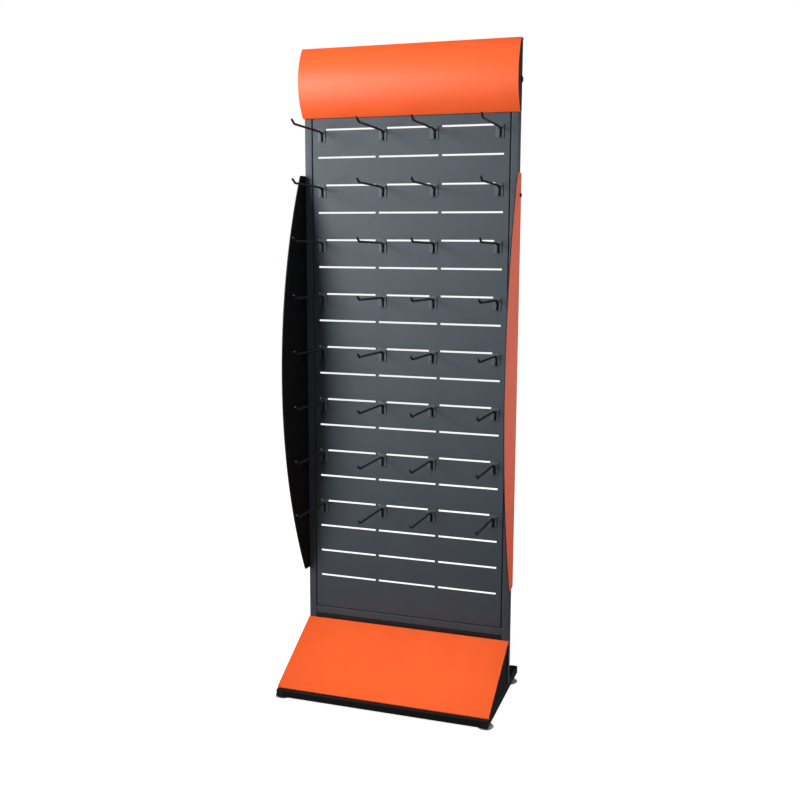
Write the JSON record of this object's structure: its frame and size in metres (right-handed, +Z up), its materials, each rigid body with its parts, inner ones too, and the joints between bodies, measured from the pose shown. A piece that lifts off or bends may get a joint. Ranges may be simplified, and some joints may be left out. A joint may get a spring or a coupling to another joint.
{
  "type": "slotted panel tool display stand",
  "caption": "Free-standing slotted steel panel stand for hanging hand tools on sliding wire hooks, with a curved header, bowed side wings and a sloping base on levelling feet.",
  "frame": {"origin": "on the floor, under the middle of the stand's whole footprint", "axes": "+X to the viewer's right, +Y away from the viewer towards the back, +Z up"},
  "size_m": [0.627, 0.37, 1.778],
  "materials": {
    "slate_powder_coat": "fine-textured satin slate-grey powder coat",
    "black_powder_coat": "fine-textured satin black powder coat",
    "orange_powder_coat": "satin orange powder coat",
    "wing_two_tone_coat": "satin orange outside, satin black inside and on the edges",
    "black_wire_hook": "semi-gloss black coat, worn on top of the arm",
    "black_bolt": "blackened steel",
    "zinc_plated_foot": "bright zinc plate"
  },
  "bodies": {
    "stand": {"post_left": "slate_powder_coat", "post_right": "slate_powder_coat", "top_rail": "slate_powder_coat", "bottom_rail": "slate_powder_coat", "slotted_panel": "slate_powder_coat", "cover_rail": "black_powder_coat", "header_cheek_left": "black_powder_coat", "header_cheek_right": "black_powder_coat", "base_side_tube_left": "black_powder_coat", "base_side_tube_right": "black_powder_coat", "base_front_tube": "black_powder_coat", "base_rear_tube": "black_powder_coat", "base_cheek_left": "black_powder_coat", "base_cheek_right": "black_powder_coat", "header_fascia": "orange_powder_coat", "base_cover": "orange_powder_coat", "wing_left": "wing_two_tone_coat", "wing_right": "wing_two_tone_coat", "header_bolt_left": "black_bolt", "header_bolt_right": "black_bolt", "wing_bolt_left": "black_bolt", "wing_bolt_right": "black_bolt", "wing_rivet_left": "orange_powder_coat", "wing_rivet_right": "orange_powder_coat"},
    "hook_r01_c1": {"hook_r01_c1": "black_wire_hook"},
    "hook_r01_c2": {"hook_r01_c2": "black_wire_hook"},
    "hook_r01_c3": {"hook_r01_c3": "black_wire_hook"},
    "hook_r01_c4": {"hook_r01_c4": "black_wire_hook"},
    "hook_r03_c1": {"hook_r03_c1": "black_wire_hook"},
    "hook_r03_c2": {"hook_r03_c2": "black_wire_hook"},
    "hook_r03_c3": {"hook_r03_c3": "black_wire_hook"},
    "hook_r03_c4": {"hook_r03_c4": "black_wire_hook"},
    "hook_r05_c1": {"hook_r05_c1": "black_wire_hook"},
    "hook_r05_c2": {"hook_r05_c2": "black_wire_hook"},
    "hook_r05_c3": {"hook_r05_c3": "black_wire_hook"},
    "hook_r05_c4": {"hook_r05_c4": "black_wire_hook"},
    "hook_r07_c1": {"hook_r07_c1": "black_wire_hook"},
    "hook_r07_c2": {"hook_r07_c2": "black_wire_hook"},
    "hook_r07_c3": {"hook_r07_c3": "black_wire_hook"},
    "hook_r07_c4": {"hook_r07_c4": "black_wire_hook"},
    "hook_r09_c1": {"hook_r09_c1": "black_wire_hook"},
    "hook_r09_c2": {"hook_r09_c2": "black_wire_hook"},
    "hook_r09_c3": {"hook_r09_c3": "black_wire_hook"},
    "hook_r09_c4": {"hook_r09_c4": "black_wire_hook"},
    "hook_r11_c1": {"hook_r11_c1": "black_wire_hook"},
    "hook_r11_c2": {"hook_r11_c2": "black_wire_hook"},
    "hook_r11_c3": {"hook_r11_c3": "black_wire_hook"},
    "hook_r11_c4": {"hook_r11_c4": "black_wire_hook"},
    "hook_r13_c1": {"hook_r13_c1": "black_wire_hook"},
    "hook_r13_c2": {"hook_r13_c2": "black_wire_hook"},
    "hook_r13_c3": {"hook_r13_c3": "black_wire_hook"},
    "hook_r13_c4": {"hook_r13_c4": "black_wire_hook"},
    "hook_r15_c1": {"hook_r15_c1": "black_wire_hook"},
    "hook_r15_c2": {"hook_r15_c2": "black_wire_hook"},
    "hook_r15_c3": {"hook_r15_c3": "black_wire_hook"},
    "hook_r15_c4": {"hook_r15_c4": "black_wire_hook"},
    "foot_front_left": {"foot_front_left": "zinc_plated_foot"},
    "foot_front_right": {"foot_front_right": "zinc_plated_foot"},
    "foot_rear_left": {"foot_rear_left": "zinc_plated_foot"},
    "foot_rear_right": {"foot_rear_right": "zinc_plated_foot"}
  },
  "joints": [
    {"name": "foot_front_left_screw", "type": "slide", "parent": "stand", "child": "foot_front_left", "axis": [0, 0, 1], "range_m": [-0.012, 0]},
    {"name": "foot_front_right_screw", "type": "slide", "parent": "stand", "child": "foot_front_right", "axis": [0, 0, 1], "range_m": [-0.012, 0]},
    {"name": "foot_rear_left_screw", "type": "slide", "parent": "stand", "child": "foot_rear_left", "axis": [0, 0, 1], "range_m": [-0.012, 0]},
    {"name": "foot_rear_right_screw", "type": "slide", "parent": "stand", "child": "foot_rear_right", "axis": [0, 0, 1], "range_m": [-0.012, 0]},
    {"name": "hook_r01_c1_slide", "type": "slide", "parent": "stand", "child": "hook_r01_c1", "axis": [1, 0, 0], "range_m": [0, 0.145]},
    {"name": "hook_r01_c2_slide", "type": "slide", "parent": "stand", "child": "hook_r01_c2", "axis": [1, 0, 0], "range_m": [0, 0.059]},
    {"name": "hook_r01_c3_slide", "type": "slide", "parent": "stand", "child": "hook_r01_c3", "axis": [1, 0, 0], "range_m": [-0.059, 0]},
    {"name": "hook_r01_c4_slide", "type": "slide", "parent": "stand", "child": "hook_r01_c4", "axis": [1, 0, 0], "range_m": [-0.145, 0]},
    {"name": "hook_r03_c1_slide", "type": "slide", "parent": "stand", "child": "hook_r03_c1", "axis": [1, 0, 0], "range_m": [0, 0.145]},
    {"name": "hook_r03_c2_slide", "type": "slide", "parent": "stand", "child": "hook_r03_c2", "axis": [1, 0, 0], "range_m": [0, 0.059]},
    {"name": "hook_r03_c3_slide", "type": "slide", "parent": "stand", "child": "hook_r03_c3", "axis": [1, 0, 0], "range_m": [-0.059, 0]},
    {"name": "hook_r03_c4_slide", "type": "slide", "parent": "stand", "child": "hook_r03_c4", "axis": [1, 0, 0], "range_m": [-0.145, 0]},
    {"name": "hook_r05_c1_slide", "type": "slide", "parent": "stand", "child": "hook_r05_c1", "axis": [1, 0, 0], "range_m": [0, 0.145]},
    {"name": "hook_r05_c2_slide", "type": "slide", "parent": "stand", "child": "hook_r05_c2", "axis": [1, 0, 0], "range_m": [0, 0.059]},
    {"name": "hook_r05_c3_slide", "type": "slide", "parent": "stand", "child": "hook_r05_c3", "axis": [1, 0, 0], "range_m": [-0.059, 0]},
    {"name": "hook_r05_c4_slide", "type": "slide", "parent": "stand", "child": "hook_r05_c4", "axis": [1, 0, 0], "range_m": [-0.145, 0]},
    {"name": "hook_r07_c1_slide", "type": "slide", "parent": "stand", "child": "hook_r07_c1", "axis": [1, 0, 0], "range_m": [0, 0.145]},
    {"name": "hook_r07_c2_slide", "type": "slide", "parent": "stand", "child": "hook_r07_c2", "axis": [1, 0, 0], "range_m": [0, 0.059]},
    {"name": "hook_r07_c3_slide", "type": "slide", "parent": "stand", "child": "hook_r07_c3", "axis": [1, 0, 0], "range_m": [-0.059, 0]},
    {"name": "hook_r07_c4_slide", "type": "slide", "parent": "stand", "child": "hook_r07_c4", "axis": [1, 0, 0], "range_m": [-0.145, 0]},
    {"name": "hook_r09_c1_slide", "type": "slide", "parent": "stand", "child": "hook_r09_c1", "axis": [1, 0, 0], "range_m": [0, 0.145]},
    {"name": "hook_r09_c2_slide", "type": "slide", "parent": "stand", "child": "hook_r09_c2", "axis": [1, 0, 0], "range_m": [0, 0.059]},
    {"name": "hook_r09_c3_slide", "type": "slide", "parent": "stand", "child": "hook_r09_c3", "axis": [1, 0, 0], "range_m": [-0.059, 0]},
    {"name": "hook_r09_c4_slide", "type": "slide", "parent": "stand", "child": "hook_r09_c4", "axis": [1, 0, 0], "range_m": [-0.145, 0]},
    {"name": "hook_r11_c1_slide", "type": "slide", "parent": "stand", "child": "hook_r11_c1", "axis": [1, 0, 0], "range_m": [0, 0.145]},
    {"name": "hook_r11_c2_slide", "type": "slide", "parent": "stand", "child": "hook_r11_c2", "axis": [1, 0, 0], "range_m": [0, 0.059]},
    {"name": "hook_r11_c3_slide", "type": "slide", "parent": "stand", "child": "hook_r11_c3", "axis": [1, 0, 0], "range_m": [-0.059, 0]},
    {"name": "hook_r11_c4_slide", "type": "slide", "parent": "stand", "child": "hook_r11_c4", "axis": [1, 0, 0], "range_m": [-0.145, 0]},
    {"name": "hook_r13_c1_slide", "type": "slide", "parent": "stand", "child": "hook_r13_c1", "axis": [1, 0, 0], "range_m": [0, 0.145]},
    {"name": "hook_r13_c2_slide", "type": "slide", "parent": "stand", "child": "hook_r13_c2", "axis": [1, 0, 0], "range_m": [0, 0.059]},
    {"name": "hook_r13_c3_slide", "type": "slide", "parent": "stand", "child": "hook_r13_c3", "axis": [1, 0, 0], "range_m": [-0.059, 0]},
    {"name": "hook_r13_c4_slide", "type": "slide", "parent": "stand", "child": "hook_r13_c4", "axis": [1, 0, 0], "range_m": [-0.145, 0]},
    {"name": "hook_r15_c1_slide", "type": "slide", "parent": "stand", "child": "hook_r15_c1", "axis": [1, 0, 0], "range_m": [0, 0.145]},
    {"name": "hook_r15_c2_slide", "type": "slide", "parent": "stand", "child": "hook_r15_c2", "axis": [1, 0, 0], "range_m": [0, 0.059]},
    {"name": "hook_r15_c3_slide", "type": "slide", "parent": "stand", "child": "hook_r15_c3", "axis": [1, 0, 0], "range_m": [-0.059, 0]},
    {"name": "hook_r15_c4_slide", "type": "slide", "parent": "stand", "child": "hook_r15_c4", "axis": [1, 0, 0], "range_m": [-0.145, 0]}
  ]
}
